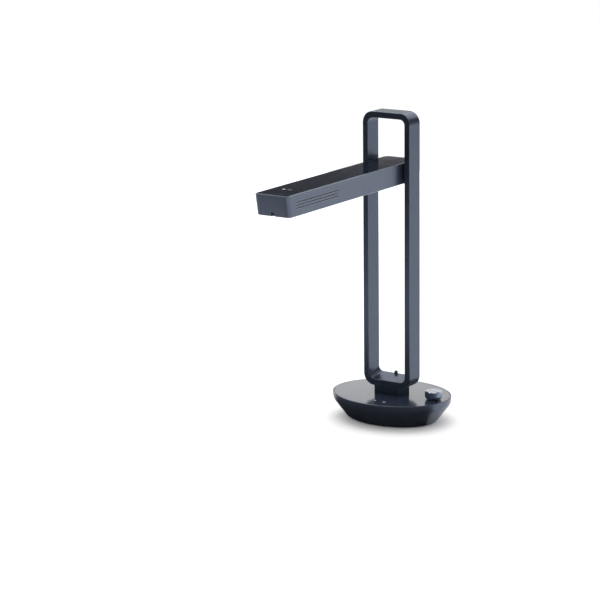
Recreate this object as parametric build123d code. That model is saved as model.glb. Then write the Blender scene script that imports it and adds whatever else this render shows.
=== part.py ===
"""Folding desk book scanner: a weighted oval base, an upright loop and a camera arm that folds into it.

Millimetres. +Z is up, -Y is the front over which the arm reaches, +X is the right-hand side.
The origin is the centre of the foot ring, on the surface that the scanner stands on.
"""
from build123d import *
import os
from math import atan2, degrees

# ---------------------------------------------------------------- driving dimensions
BASE_A = 69.9            # half width of the oval base, left to right
BASE_B = 55.8            # half depth of the oval base, front to back
BASE_H = 29.3            # top of the base above the desk
BAND_Z = 21.8            # where the upright band turns into the tapering bowl
BOWL_INSET = 16.2        # the bowl draws in by this much down to its underside
UNDERSIDE_Z = 1.2        # height of the bowl's underside over the desk
LEDGE_Z = 27.3           # ledge that the top plate lies on
PLATE_INSET = 1.5

LOOP_W = 60.0            # outer width of the upright loop
LOOP_D = 22.0            # depth of the loop, front to back
LOOP_T = 7.0             # thickness of its legs
LOOP_Z0 = 38.0
LOOP_Z1 = 347.0
LOOP_R = 13.0            # outer corner
LOOP_R_IN = 6.0          # inner corner
FLOOR_Z = 45.3           # floor of the loop's opening at the front
FLOOR_RISE = 4.1         # the floor climbs this much towards the back
NECK_W = 34.0

PIVOT_Z = 281.0          # hinge axis of the arm, along X through Y = 0
HEAD_W = 41.6
HEAD_H = 23.0
HEAD_BACK = 23.0         # arm's rear end behind the pivot
HEAD_REACH = 235.2       # arm's front top edge ahead of the pivot
HEAD_RAKE = 4.3 / 23.0   # the front end leans back by this much per millimetre of drop
HEAD_WALL = 2.2
LIP = 1.3                # rim left around the arm's top panel and bottom cover
PANEL_T = 1.6
COVER_T = 1.8
HEAD_Z0 = PIVOT_Z - HEAD_H / 2
HEAD_Z1 = PIVOT_Z + HEAD_H / 2

SPINDLE_R = 4.0
RUNNING = 0.05           # radial clearance of a turning shaft
GAP = 0.3                # air between pieces that move past each other

KNOB_X = 53.8
KNOB_R = 9.5
KNOB_Z0 = 30.6
KNOB_Z1 = 39.0
PRESS_TRAVEL = 0.6

CAMERA_Y = -190.0
CHASSIS_Z = 287.0
BOARD_Z = 11.4
SWITCH_X = 14.0          # rocker switch in the rear panel
SWITCH_Y = 38.8
SWITCH_Z = 18.5
SWITCH_TILT = 7.0
BALLAST_Z0 = 5.1
BALLAST_Z1 = 10.6

os.makedirs("parts", exist_ok=True)


# ---------------------------------------------------------------- small helpers
def box(x0, x1, y0, y1, z0, z1):
    """Box between two opposite corners."""
    centre = Pos((x0 + x1) / 2, (y0 + y1) / 2, (z0 + z1) / 2)
    return centre * Box(x1 - x0, y1 - y0, z1 - z0)


def rod_z(x, y, radius, z0, z1):
    return Pos(x, y, (z0 + z1) / 2) * Cylinder(radius, z1 - z0)


def rod_x(y, z, radius, x0, x1):
    return Pos((x0 + x1) / 2, y, z) * Rot(0, 90, 0) * Cylinder(radius, x1 - x0)


def rod_y(x, z, radius, y0, y1):
    return Pos(x, (y0 + y1) / 2, z) * Rot(90, 0, 0) * Cylinder(radius, y1 - y0)


def turned(points, x=0.0, y=0.0):
    """Solid of revolution about a vertical axis from (radius, height) points."""
    profile = make_face(Plane.XZ * Polyline(*points, close=True))
    return Pos(x, y, 0) * revolve(profile, Axis.Z)


def oval_at(inset, z):
    """The base's oval outline, drawn in by inset, at height z."""
    return Pos(0, 0, z) * Ellipse(BASE_A - inset, BASE_B - inset)


def oval_slab(inset, z0, z1):
    return extrude(oval_at(inset, z0), z1 - z0, dir=(0, 0, 1))


def oval_taper(*stations):
    """Solid through the oval outline at each (inset, z) station."""
    return loft([oval_at(inset, z) for inset, z in stations], ruled=True)


def flat_edges(solid):
    """Level edges of a solid, lowest first."""
    level = solid.edges().filter_by(lambda edge: edge.bounding_box().size.Z < 0.01)
    return level.sort_by(lambda edge: edge.center().Z)


def round_uprights(solid, radius):
    """Round the vertical edges of an upright block."""
    return fillet(solid.edges().filter_by(Axis.Z), radius)


def prism_x(points, x0, x1):
    """Extrude (y, z) points along X."""
    face = make_face(Plane.YZ * Polyline(*points, close=True))
    return Pos(x0, 0, 0) * extrude(face, x1 - x0, dir=(1, 0, 0))


def prism_y(points, y0, y1):
    """Extrude (x, z) points along Y."""
    face = make_face(Plane.XZ * Polyline(*points, close=True))
    return Pos(0, y0, 0) * extrude(face, y1 - y0, dir=(0, 1, 0))


def mirrored(solid):
    """The same piece on the other side, at minus X."""
    return mirror(solid, Plane.YZ)


def countersunk_screw(x, y, z_head, length, radius, upward=True):
    """Screw along Z whose flat head is at z_head; its shank goes up or down from there."""
    head = 1.9 * radius
    depth = 0.9 * radius
    points = [(0, 0), (head, 0), (head, 0.2), (radius, depth), (radius, length), (0, length)]
    screw = turned(points) - Pos(0, 0, 0.4) * Box(1.3 * radius, 0.35 * radius, 0.9)
    screw = screw - Pos(0, 0, 0.4) * Box(0.35 * radius, 1.3 * radius, 0.9)
    flip = Rot(0, 0, 0) if upward else Rot(180, 0, 0)
    return Pos(x, y, z_head) * flip * screw


def screw_seat(x, y, z_head, length, radius, upward=True):
    """Room that a countersunk screw takes up in the pieces that it holds."""
    head = 1.9 * radius
    depth = 0.9 * radius
    points = [(0, -1), (head, -1), (head, 0.2), (radius, depth), (radius, length), (0, length)]
    flip = Rot(0, 0, 0) if upward else Rot(180, 0, 0)
    return Pos(x, y, z_head) * flip * turned(points)


def save(node, *solids):
    """Write one sub-part, made of one solid or of several identical ones."""
    shape = solids[0] if len(solids) == 1 else Compound(children=list(solids))
    export_step(shape, f"parts/{node}.step")


# ---------------------------------------------------------------- base
def bowl_solid():
    """Outside of the base as a full solid."""
    bowl = oval_taper((BOWL_INSET, UNDERSIDE_Z), (0.4, BAND_Z), (0, BASE_H))
    bowl = fillet(flat_edges(bowl)[1], 12.0)
    bowl = fillet(flat_edges(bowl)[0], 4.0)
    return fillet(flat_edges(bowl)[-1], 0.6)


COVER_HOLE_INSET = 19.6
WALL_INSET = 4.0


def bowl_hollow():
    """Inside of the base, from the bottom cover's seat up to the recess for the top plate."""
    room = oval_taper((17.0, 5.0), (WALL_INSET, BAND_Z - 0.8))
    room += oval_slab(WALL_INSET, BAND_Z - 0.8, LEDGE_Z)
    room += oval_slab(PLATE_INSET - 0.2, LEDGE_Z, BASE_H + 1)
    room += oval_slab(COVER_HOLE_INSET + 2.8, 3.2, 5.0)
    return room + oval_slab(COVER_HOLE_INSET, UNDERSIDE_Z - 1, 3.2)


TRAY_X = 21.0
TRAY_Y = 42.6
TRAY_Z0 = 10.3
TRAY_Z1 = 24.7
TRAY_WALL = 1.4


def tray_block(grow, y0):
    return box(-TRAY_X - grow, TRAY_X + grow, y0, BASE_B + 10, TRAY_Z0 - grow, TRAY_Z1 + grow)


def base_shell():
    return bowl_solid() - bowl_hollow() - tray_block(TRAY_WALL, TRAY_Y - 1.6)


DC_X = -13.0
DC_Z = 18.5
USB_X = 1.5
USB_Z0 = BOARD_Z + 1.6


def port_tray():
    """Recessed rear panel whose mouth follows the bowl's surface."""
    tray = (tray_block(TRAY_WALL, TRAY_Y - 1.6) - tray_block(0, TRAY_Y)) & bowl_solid()
    tray -= rod_y(DC_X, DC_Z, 4.1, TRAY_Y - 3, TRAY_Y + 1)
    tray -= box(USB_X - 6.1, USB_X + 6.1, TRAY_Y - 3, TRAY_Y + 1, USB_Z0 - 0.1, USB_Z0 + 11.0)
    tray -= box(SWITCH_X - 4.1, SWITCH_X + 4.1, TRAY_Y - 3, TRAY_Y + 1, SWITCH_Z - 5.7, SWITCH_Z + 5.7)
    return tray


def neck_block(grow, z0, z1):
    half = NECK_W / 2 + grow
    deep = LOOP_D / 2 + grow
    return round_uprights(box(-half, half, -deep, deep, z0, z1), 2.2 + grow)


LIGHT_DOT = (1.8, -38.1)
LIGHT_OVAL = (13.7, -39.2)


def pill(x, y, length, width, z0, z1):
    return Pos(x, y, z0) * extrude(SlotOverall(length, width), z1 - z0)


def base_top_plate():
    plate = oval_slab(PLATE_INSET, LEDGE_Z, BASE_H)
    plate = chamfer(flat_edges(plate)[-1], 0.3)
    plate -= neck_block(0.1, LEDGE_Z - 1, BASE_H + 1)
    plate -= rod_z(KNOB_X, 0, 3.6, LEDGE_Z - 1, BASE_H + 1)
    plate -= rod_z(*LIGHT_DOT, 1.0, LEDGE_Z - 1, BASE_H + 1)
    return plate - pill(*LIGHT_OVAL, 3.5, 1.9, LEDGE_Z - 1, BASE_H + 1)


def status_light_pipes():
    dot = rod_z(*LIGHT_DOT, 0.95, LEDGE_Z - 0.6, BASE_H)
    return dot, pill(*LIGHT_OVAL, 3.4, 1.8, LEDGE_Z - 0.6, BASE_H)


FOOT_OUTER_INSET = 22.0
FOOT_INNER_INSET = 31.0
COVER_SCREWS = [(30.0, 8.0), (-30.0, 8.0), (-30.0, -8.0), (30.0, -8.0)]


def foot_band(play, z0, z1):
    """Oval ring under the base; play makes it narrower on both sides."""
    return oval_slab(FOOT_OUTER_INSET + play, z0, z1) - oval_slab(FOOT_INNER_INSET - play, z0 - 1, z1 + 1)


def bottom_cover():
    cover = oval_slab(COVER_HOLE_INSET + 0.2, UNDERSIDE_Z, 3.1) - foot_band(0, UNDERSIDE_Z - 1, 1.7)
    for x, y in COVER_SCREWS:
        cover += rod_z(x, y, 3.6, 3.1, BALLAST_Z0)
        cover -= screw_seat(x, y, UNDERSIDE_Z + 0.2, 9.0, 1.5)
    return cover


def rubber_foot_ring():
    ring = foot_band(0.1, 0, 1.7)
    return chamfer(flat_edges(ring)[:2], 0.4)


def bottom_cover_screws():
    return [countersunk_screw(x, y, UNDERSIDE_Z + 0.2, 9.0, 1.5) for x, y in COVER_SCREWS]


COLUMN_SCREWS = [(9.0, 6.0), (9.0, -6.0), (-2.5, 6.0), (-2.5, -6.0)]


def ballast_plate():
    plate = oval_slab(17.8, BALLAST_Z0, BALLAST_Z1)
    for x, y in COVER_SCREWS:
        plate -= rod_z(x, y, 1.5, BALLAST_Z0 - 1, UNDERSIDE_Z + 9.2)
    for x, y in COLUMN_SCREWS:
        plate -= screw_seat(x, y, BALLAST_Z0 + 0.4, 15.0, 2.0)
    for x, y in BOARD_SPOTS:
        plate -= rod_z(x, y, 1.25, BALLAST_Z1 - 4, BALLAST_Z1 + 1)
    return plate


def column_screws():
    return [countersunk_screw(x, y, BALLAST_Z0 + 0.4, 15.0, 2.0) for x, y in COLUMN_SCREWS]


# ---------------------------------------------------------------- upright loop
def loop_outline(inset, y0, y1):
    """Rounded upright rectangle, drawn in by inset, as a solid from y0 to y1."""
    half = LOOP_W / 2 - inset
    block = box(-half, half, y0, y1, LOOP_Z0 + inset, LOOP_Z1 - inset)
    return fillet(block.edges().filter_by(Axis.Y), LOOP_R - inset)


def floor_height(y):
    return FLOOR_Z + FLOOR_RISE * (y + LOOP_D / 2) / LOOP_D


def loop_opening():
    """Opening through the loop, with a floor that climbs to the back and rounded corners."""
    half = LOOP_W / 2 - LOOP_T
    top = LOOP_Z1 - LOOP_T
    reach = LOOP_D / 2 + 2
    side = [(-reach, floor_height(-reach)), (reach, floor_height(reach)), (reach, top), (-reach, top)]
    block = prism_x(side, -half, half)
    corners = block.edges().filter_by(lambda edge: edge.length > 2 * reach - 0.1 and edge.length < 3 * reach)
    corners = corners.filter_by(lambda edge: abs(edge.tangent_at(0).Y) > 0.9)
    return fillet(corners, LOOP_R_IN)


CHANNEL_HALF = 5.0       # half width of the wire channel in the left leg
CHANNEL_DEPTH = 4.0
CHANNEL_LID = 1.2
CHANNEL_TOP = PIVOT_Z + 6
DUCT_X0 = -13.0
DUCT_X1 = -7.0


def channel_band(outer_inset, inner_inset, half_width, x_end, z_top):
    """Strip that follows the left leg and the lower left corner, between two depths."""
    band = loop_outline(outer_inset, -half_width, half_width)
    band -= loop_outline(inner_inset, -half_width - 1, half_width + 1)
    return band & box(-LOOP_W, x_end, -half_width, half_width, LOOP_Z0 - 1, z_top)


def column_frame():
    rim = LOOP_D / 2
    loop = loop_outline(0, -rim, rim) - loop_opening()
    faces = loop.faces().filter_by(Axis.Y)
    loop = chamfer(faces.edges(), 0.5)
    loop += neck_block(0, LEDGE_Z - 0.1, LOOP_Z0 + 3)
    loop += box(-14.5, 14.5, -9.5, 9.5, BALLAST_Z1, LEDGE_Z)
    loop -= channel_band(-1, CHANNEL_DEPTH, CHANNEL_HALF, -NECK_W / 2 - 0.2, CHANNEL_TOP)
    loop -= box(-NECK_W / 2 - 0.4, DUCT_X1, -4.9, 4.9, LOOP_Z0 - 0.1, LOOP_Z0 + CHANNEL_DEPTH)
    loop -= box(DUCT_X0, DUCT_X1, -4.9, 4.9, BALLAST_Z1 - 1, LOOP_Z0 + CHANNEL_DEPTH)
    loop -= box(-15, DUCT_X1, -4.9, 4.9, BALLAST_Z1 - 1, 18.5)
    loop -= rod_x(0, PIVOT_Z, SPINDLE_R, LOOP_W / 2 - LOOP_T - 1, 28)
    loop -= rod_x(0, PIVOT_Z, SPINDLE_R, -28, -(LOOP_W / 2 - LOOP_T - 1))
    loop -= box(-1.6, 1.6, NUB_Y0 - 0.05, NUB_Y1 + 0.05, 46.5, 52)
    for x, y in COLUMN_SCREWS:
        loop -= rod_z(x, y, 2.0, BALLAST_Z1 - 1, BALLAST_Z0 + 15.4)
    return loop


def channel_cover():
    return channel_band(0, CHANNEL_LID, CHANNEL_HALF - 0.05, -NECK_W / 2 - 0.2, CHANNEL_TOP - 0.1)


NUB_Y0 = 7.65
NUB_Y1 = 10.55
NUB_TOP = 52.3


def fold_nub():
    """Rubber key on the loop's floor that centres the folded arm."""
    side = [(-1.55, 46.5), (1.55, 46.5), (1.55, 49.2), (1.15, NUB_TOP), (-1.15, NUB_TOP), (-1.55, 49.2)]
    return prism_y(side, NUB_Y0, NUB_Y1)


def column_wire_harness():
    """Flat cable from the main board up through the neck and the left leg to the hinge."""
    leg = channel_band(CHANNEL_LID + 0.3, CHANNEL_DEPTH - 0.4, 4.0, -12, PIVOT_Z + 2)
    duct = box(-12, -9.9, -4, 4, 14.5, LOOP_Z0 + CHANNEL_DEPTH - 0.4)
    cross = box(-22, -9.9, -4, 4, 14.5, 16.5)
    to_board = box(-22, -14.5, -4, 13, 14.5, 16.5)
    through = rod_x(0, PIVOT_Z, 1.6, -LOOP_W / 2 + CHANNEL_LID + 0.4, -2.6)
    return leg + duct + cross + to_board + through


# ---------------------------------------------------------------- hinge
def hinge_spindles():
    """Steel stubs pressed into the legs; the left one is hollow for the cable."""
    right = rod_x(0, PIVOT_Z, SPINDLE_R, 3, 28)
    left = rod_x(0, PIVOT_Z, SPINDLE_R, -26, -3) - rod_x(0, PIVOT_Z, 2.2, -30, 0)
    return right, left


def washer_x(outer, inner, x0, x1):
    return rod_x(0, PIVOT_Z, outer, x0, x1) - rod_x(0, PIVOT_Z, inner, x0 - 1, x1 + 1)


def thrust_washers():
    right = washer_x(6.2, SPINDLE_R + 0.02, HEAD_W / 2 + GAP, LOOP_W / 2 - LOOP_T)
    return right, mirrored(right)


def spring_washers():
    right = [washer_x(5.6, SPINDLE_R + 0.02, x, x + 0.8) for x in (6.5, 7.6, 8.7)]
    return right + [mirrored(washer) for washer in right]


def hinge_nuts():
    nut = extrude(RegularPolygon(5.5, 6), 3.2) - Cylinder(SPINDLE_R + 0.02, 10)
    right = Pos(3.1, 0, PIVOT_Z) * Rot(0, 90, 0) * nut
    return right, mirrored(right)


def hinge_blocks():
    right = box(9.8, 18.3, -9, 9, 273, CHASSIS_Z)
    right = fillet(right.edges().filter_by(Axis.X), 1.5)
    right -= rod_x(0, PIVOT_Z, SPINDLE_R + RUNNING, 0, 30)
    for y in (-6.5, 6.5):
        right -= rod_z(14, y, 1.25, CHASSIS_Z - 4, CHASSIS_Z + 1)
    return right, mirrored(right)


# ---------------------------------------------------------------- arm
def front_y(z, inset):
    """Where the raked front end is at height z, drawn in by inset."""
    return -HEAD_REACH + (HEAD_Z1 - z) * HEAD_RAKE + inset * 1.017


def head_block(inset, z0, z1):
    """Slice of the arm's outer form between two heights, drawn in by inset."""
    back = HEAD_BACK - inset
    side = [(front_y(z0, inset), z0), (back, z0), (back, z1), (front_y(z1, inset), z1)]
    half = HEAD_W / 2 - inset
    block = prism_x(side, -half, half)
    uprights = block.edges().filter_by(lambda edge: abs(edge.tangent_at(0).Z) > 0.9)
    front = uprights.filter_by(lambda edge: edge.center().Y < 0)
    back_edges = uprights.filter_by(lambda edge: edge.center().Y > 0)
    block = fillet(front, 4.5 - inset)
    back_edges = block.edges().filter_by(Axis.Z).filter_by(lambda edge: edge.center().Y > back - 0.01)
    return fillet(back_edges, 7.0 - inset)


BOSSES_Y = (-223.0, -130.0, -52.0, 14.0)
BOSS_X = 15.6
VENTS_Z = (PIVOT_Z + 3.0, PIVOT_Z, PIVOT_Z - 3.0)
VENT_Y = (-219.0, -139.0)
NOTCH_Y = -228.2
NOTCH_Z = PIVOT_Z - 7.1


def head_notch():
    """Pocket in the arm's end for the rubber nub."""
    return box(-2.1, 2.1, -HEAD_REACH - 5, NOTCH_Y, HEAD_Z0 - 1, NOTCH_Z)


def head_shell():
    outer = head_block(0, HEAD_Z0, HEAD_Z1)
    outer = chamfer(outer.edges().group_by(Axis.Z)[-1], 0.5)
    outer = chamfer(outer.edges().group_by(Axis.Z)[0], 0.5)
    shell = outer - head_block(HEAD_WALL, HEAD_Z0 - 1, HEAD_Z1 + 1)
    shell += box(-3.6, 3.6, front_y(271.3, 1.0), NOTCH_Y + 1.3, 271.4, NOTCH_Z + 1.3)
    for y in BOSSES_Y:
        boss = rod_z(BOSS_X, y, 3.2, HEAD_Z0, CHASSIS_Z)
        boss += box(BOSS_X, HEAD_W / 2 - 1, y - 1.2, y + 1.2, HEAD_Z0, CHASSIS_Z)
        boss -= rod_z(BOSS_X, y, 1.25, HEAD_Z0 - 1, 281)
        boss -= rod_z(BOSS_X, y, 1.25, 282.5, CHASSIS_Z + 1)
        shell += boss
        shell += mirrored(boss)
    shell -= head_block(LIP, HEAD_Z1 - PANEL_T, HEAD_Z1 + 1)
    shell -= head_block(LIP, HEAD_Z0 - 1, HEAD_Z0 + COVER_T)
    for z in VENTS_Z:
        shell -= box(-HEAD_W, HEAD_W, *VENT_Y, z - 0.45, z + 0.45)
    shell -= rod_x(0, PIVOT_Z, SPINDLE_R + 0.7, -HEAD_W, HEAD_W)
    return shell - head_notch()


KEY_DOT = (-6.3, -201.0)
KEY_BAR = (0.8, -201.0)


def head_top_panel():
    panel = head_block(LIP + 0.05, HEAD_Z1 - PANEL_T, HEAD_Z1 - 0.05)
    panel = chamfer(panel.edges().group_by(Axis.Z)[-1], 0.25)
    panel -= rod_z(*KEY_DOT, 2.0, HEAD_Z1 - 5, HEAD_Z1 + 1)
    return panel - pill(*KEY_BAR, 6.0, 1.0, HEAD_Z1 - 5, HEAD_Z1 + 1)


def key_light_pipes():
    dot = rod_z(*KEY_DOT, 1.95, HEAD_Z1 - PANEL_T - 0.4, HEAD_Z1 - 0.05)
    return dot, pill(*KEY_BAR, 5.9, 0.9, HEAD_Z1 - PANEL_T - 0.4, HEAD_Z1 - 0.05)


def touch_board():
    return box(-12, 12, -220, -184, 289.2, HEAD_Z1 - PANEL_T - 0.4)


DIFFUSERS = {"front": (-218.0, -205.0, 12.0), "main": (-164.0, -60.0, 11.0)}
COVER_SCREWS_Y = (-223.0, -52.0, 14.0)


def diffuser_block(name, grow, z0, z1):
    y0, y1, half = DIFFUSERS[name]
    return round_uprights(box(-half - grow, half + grow, y0 - grow, y1 + grow, z0, z1), 2.0 + grow)


def head_bottom_cover():
    cover = head_block(LIP + 0.05, HEAD_Z0, HEAD_Z0 + COVER_T)
    cover -= rod_z(0, CAMERA_Y, 11.05, HEAD_Z0 - 1, HEAD_Z0 + 3)
    for name in DIFFUSERS:
        cover -= diffuser_block(name, 0.05, HEAD_Z0 - 1, HEAD_Z0 + 3)
    for x in (-BOSS_X, BOSS_X):
        for y in COVER_SCREWS_Y:
            cover -= screw_seat(x, y, HEAD_Z0 + 0.1, 9.0, 1.25)
    return cover - head_notch()


def head_cover_screws():
    places = [(x, y) for x in (-BOSS_X, BOSS_X) for y in COVER_SCREWS_Y]
    return [countersunk_screw(x, y, HEAD_Z0 + 0.1, 9.0, 1.25) for x, y in places]


def diffuser(name):
    """Milky window, flush outside, with a thin flange behind the cover."""
    window = diffuser_block(name, 0, HEAD_Z0 + 0.1, HEAD_Z0 + COVER_T)
    return window + diffuser_block(name, 1.2, HEAD_Z0 + COVER_T, HEAD_Z0 + COVER_T + 1.0)


def led_heat_sink(name):
    """Finned aluminium strip between the lamp board and the chassis."""
    y0, y1, half = DIFFUSERS[name]
    sink = box(-half, half, y0, y1, 281.2, 282.4)
    for rib in range(5):
        x = -half + rib * (2 * half - 1.2) / 4
        sink += box(x, x + 1.2, y0, y1, 282.4, CHASSIS_Z)
    return sink


def led_board(name):
    y0, y1, half = DIFFUSERS[name]
    return box(-half, half, y0, y1, 280.0, 281.2)


def led_chips():
    chips = []
    for name, (y0, y1, half) in DIFFUSERS.items():
        rows = 12 if name == "main" else 2
        pitch = (y1 - y0) / rows
        for row in range(rows):
            for x in (-half * 0.5, half * 0.5):
                y = y0 + pitch * (row + 0.5)
                chips.append(box(x - 1.4, x + 1.4, y - 1.4, y + 1.4, 279.2, 280.0))
    return chips


def head_chassis():
    """Steel stiffener that ties the hinge blocks, camera, lamps and shell together."""
    plate = box(-17.8, 17.8, -227, 17.5, CHASSIS_Z, CHASSIS_Z + 1.2)
    plate = round_uprights(plate, 2.0)
    for x in (-BOSS_X, BOSS_X):
        for y in BOSSES_Y:
            plate -= rod_z(x, y, 1.4, CHASSIS_Z - 1, CHASSIS_Z + 2)
    for x in (-14, 14):
        for y in (-6.5, 6.5):
            plate -= rod_z(x, y, 1.4, CHASSIS_Z - 1, CHASSIS_Z + 2)
    for x in (-9.5, 9.5):
        for y in CAMERA_SCREWS_Y:
            plate -= rod_z(x, y, 1.0, CHASSIS_Z - 1, CHASSIS_Z + 2)
    plate -= round_uprights(box(-4, 4, -4, 4, CHASSIS_Z - 1, CHASSIS_Z + 2), 1.0)
    return plate - box(-5, 5, -177.5, -172, CHASSIS_Z - 1, CHASSIS_Z + 2)


def pan_screw(x, y, z_seat, length, radius):
    """Pan-headed screw that goes down from its seat."""
    points = [(0, -length), (radius, -length), (radius, 0), (1.9 * radius, 0), (1.9 * radius, 0.5 * radius),
              (1.4 * radius, 0.9 * radius), (0, 0.9 * radius)]
    slot = Pos(0, 0, 0.8 * radius) * Box(0.4 * radius, 2.0 * radius, 0.6 * radius)
    return Pos(x, y, z_seat) * (turned(points) - slot)


def chassis_screws():
    seat = CHASSIS_Z + 1.2
    at_bosses = [(x, y) for x in (-BOSS_X, BOSS_X) for y in (-130.0, -52.0, 14.0)]
    at_hinge = [(x, y) for x in (-14, 14) for y in (-6.5, 6.5)]
    return [pan_screw(x, y, seat, 4.4, 1.2) for x, y in at_bosses + at_hinge]


CAMERA_SCREWS_Y = (CAMERA_Y - 9.5, CAMERA_Y + 9.5)


def camera_board():
    board = box(-12, 12, CAMERA_Y - 12, CAMERA_Y + 12, CHASSIS_Z - 1.2, CHASSIS_Z)
    for x in (-9.5, 9.5):
        for y in CAMERA_SCREWS_Y:
            board -= rod_z(x, y, 1.0, CHASSIS_Z - 3, CHASSIS_Z + 1)
    return board


def camera_screws():
    flip = Pos(0, 0, 2 * (CHASSIS_Z - 1.2)) * Rot(180, 0, 0)
    places = [(x, -y) for x in (-9.5, 9.5) for y in CAMERA_SCREWS_Y]
    return [flip * pan_screw(x, y, CHASSIS_Z - 1.2, 2.2, 1.0) for x, y in places]


def lens_holder():
    top = CHASSIS_Z - 1.2
    holder = round_uprights(box(-7.5, 7.5, CAMERA_Y - 7.5, CAMERA_Y + 7.5, 281.5, top), 1.0)
    holder += rod_z(0, CAMERA_Y, 7.0, 277, 281.5)
    return holder - rod_z(0, CAMERA_Y, 6.05, 276, 283.5) - rod_z(0, CAMERA_Y, 4.0, 283, top + 1)


def lens_barrel():
    return turned([(4.2, 272.2), (6.6, 272.2), (6.6, 275.8), (6.0, 276.2), (6.0, 283.2), (3.6, 283.2),
                   (3.6, 275.2), (4.2, 275.2)], 0, CAMERA_Y)


def front_lens():
    """Outer glass element of the camera lens, bulging downwards."""
    dome = Pos(0, CAMERA_Y, 280.4) * Sphere(7.6)
    return dome & rod_z(0, CAMERA_Y, 4.15, 272.0, 275.1)


def lens_bezel():
    low = HEAD_Z0
    return turned([(8.2, low), (10.6, low), (11.0, low + 0.4), (11.0, low + COVER_T + 0.6), (9.0, low + COVER_T + 0.6),
                   (9.0, low + 0.7), (8.2, low + 0.7)], 0, CAMERA_Y)


def lens_window():
    return rod_z(0, CAMERA_Y, 8.95, HEAD_Z0 + 0.7, HEAD_Z0 + 1.9)


def head_wire_harness():
    """Flat cable from the hinge over the chassis to the touch board and the camera board."""
    over = CHASSIS_Z + 1.4
    drop = box(-2, 2, -2, 2, 279.6, over + 0.6)
    ribbon = box(-4.5, 4.5, -183.8, 2, over, over + 0.6)
    tail = box(-4, 4, -175.4, -174.6, CHASSIS_Z - 1.4, over)
    plug = box(-4, 4, -177.9, -174.6, CHASSIS_Z - 2.6, CHASSIS_Z - 1.4)
    return drop + ribbon + tail + plug


# ---------------------------------------------------------------- electronics in the base
BOARD_Y0 = 12.0
BOARD_Y1 = 29.6
BOARD_SPOTS = [(-27.0, 15.5), (27.0, 15.5), (-27.0, 26.6), (27.0, 26.6)]


def main_board():
    board = box(-31, 31, BOARD_Y0, BOARD_Y1, BOARD_Z, BOARD_Z + 1.6)
    board += box(-18, 8.5, BOARD_Y1, TRAY_Y - 4.5, BOARD_Z, BOARD_Z + 1.6)
    for x, y in BOARD_SPOTS:
        board -= rod_z(x, y, 1.25, BOARD_Z - 1, BOARD_Z + 3)
    return board


def board_screws():
    return [pan_screw(x, y, BOARD_Z + 1.6, 4.6, 1.2) for x, y in BOARD_SPOTS]


def board_spacers():
    return [rod_z(x, y, 2.6, BALLAST_Z1, BOARD_Z) - rod_z(x, y, 1.3, BALLAST_Z1 - 1, BOARD_Z + 1)
            for x, y in BOARD_SPOTS]


def board_components():
    top = BOARD_Z + 1.6
    processor = box(8.5, 21.0, 13.5, 26.0, top, top + 1.4)
    memory = box(-8, 2, 14.5, 22.5, top, top + 1.1)
    coil = rod_z(-20, 22.8, 4.0, top, top + 4.0)
    capacitor = rod_z(24.7, 21.05, 2.8, top, top + 8.0)
    plug = box(-22, -14, 13.05, 18, top, 17)
    return processor, memory, coil, capacitor, plug


def dc_inlet():
    """Barrel inlet with its centre pin."""
    body = box(DC_X - 4.5, DC_X + 4.5, TRAY_Y - 13.5, TRAY_Y - 1.65, BOARD_Z + 1.6, BOARD_Z + 12.2)
    body += rod_y(DC_X, DC_Z, 4.0, TRAY_Y - 1.65, TRAY_Y + 0.4)
    body -= rod_y(DC_X, DC_Z, 2.8, TRAY_Y - 10.0, TRAY_Y + 1)
    return body + rod_y(DC_X, DC_Z, 1.0, TRAY_Y - 10.5, TRAY_Y - 0.8)


def usb_port():
    """Square socket with its tongue."""
    z1 = USB_Z0 + 10.9
    depth = TRAY_Y - 9.5
    body = box(USB_X - 6, USB_X + 6, TRAY_Y - 15.5, TRAY_Y + 0.3, USB_Z0, z1)
    mouth = box(USB_X - 4.25, USB_X + 4.25, depth, TRAY_Y + 1, USB_Z0 + 1.5, USB_Z0 + 9.3)
    body -= mouth
    for side in (-1, 1):
        corner = [(USB_X + side * 4.25, USB_Z0 + 9.3), (USB_X + side * 2.6, USB_Z0 + 9.3),
                  (USB_X + side * 4.25, USB_Z0 + 7.6)]
        body += prism_y(corner, depth, TRAY_Y + 0.3)
    return body + box(USB_X - 2.8, USB_X + 2.8, depth - 0.1, TRAY_Y - 1, USB_Z0 + 3.8, USB_Z0 + 7.0)


def switch_housing():
    body = box(SWITCH_X - 4, SWITCH_X + 4, TRAY_Y - 9.2, TRAY_Y, SWITCH_Z - 5.6, SWITCH_Z + 5.6)
    body += box(SWITCH_X - 4.8, SWITCH_X + 4.8, TRAY_Y, TRAY_Y + 0.7, SWITCH_Z - 6.0, SWITCH_Z + 6.0)
    body -= box(SWITCH_X - 3.2, SWITCH_X + 3.2, TRAY_Y - 8.2, TRAY_Y + 1, SWITCH_Z - 5.0, SWITCH_Z + 5.0)
    return body - rod_x(SWITCH_Y, SWITCH_Z, 0.75, SWITCH_X - 3.8, SWITCH_X + 3.8)


def power_rocker():
    """Rocker with a shallow V face, resting tipped to one side on its own two pins."""
    y, z = SWITCH_Y, SWITCH_Z
    side = [(y - 2.6, z - 2.4), (y + 3.0, z - 4.2), (y + 4.6, z - 4.2), (y + 3.8, z), (y + 4.6, z + 4.2),
            (y + 3.0, z + 4.2), (y - 2.6, z + 2.4)]
    rocker = prism_x(side, SWITCH_X - 2.9, SWITCH_X + 2.9)
    rocker += rod_x(y, z, 0.7, SWITCH_X - 3.6, SWITCH_X + 3.6)
    axis = Axis((SWITCH_X, y, z), (1, 0, 0))
    return rocker.rotate(axis, SWITCH_TILT)


# ---------------------------------------------------------------- knob
BUSH_TOP = BASE_H + 2.4


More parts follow.
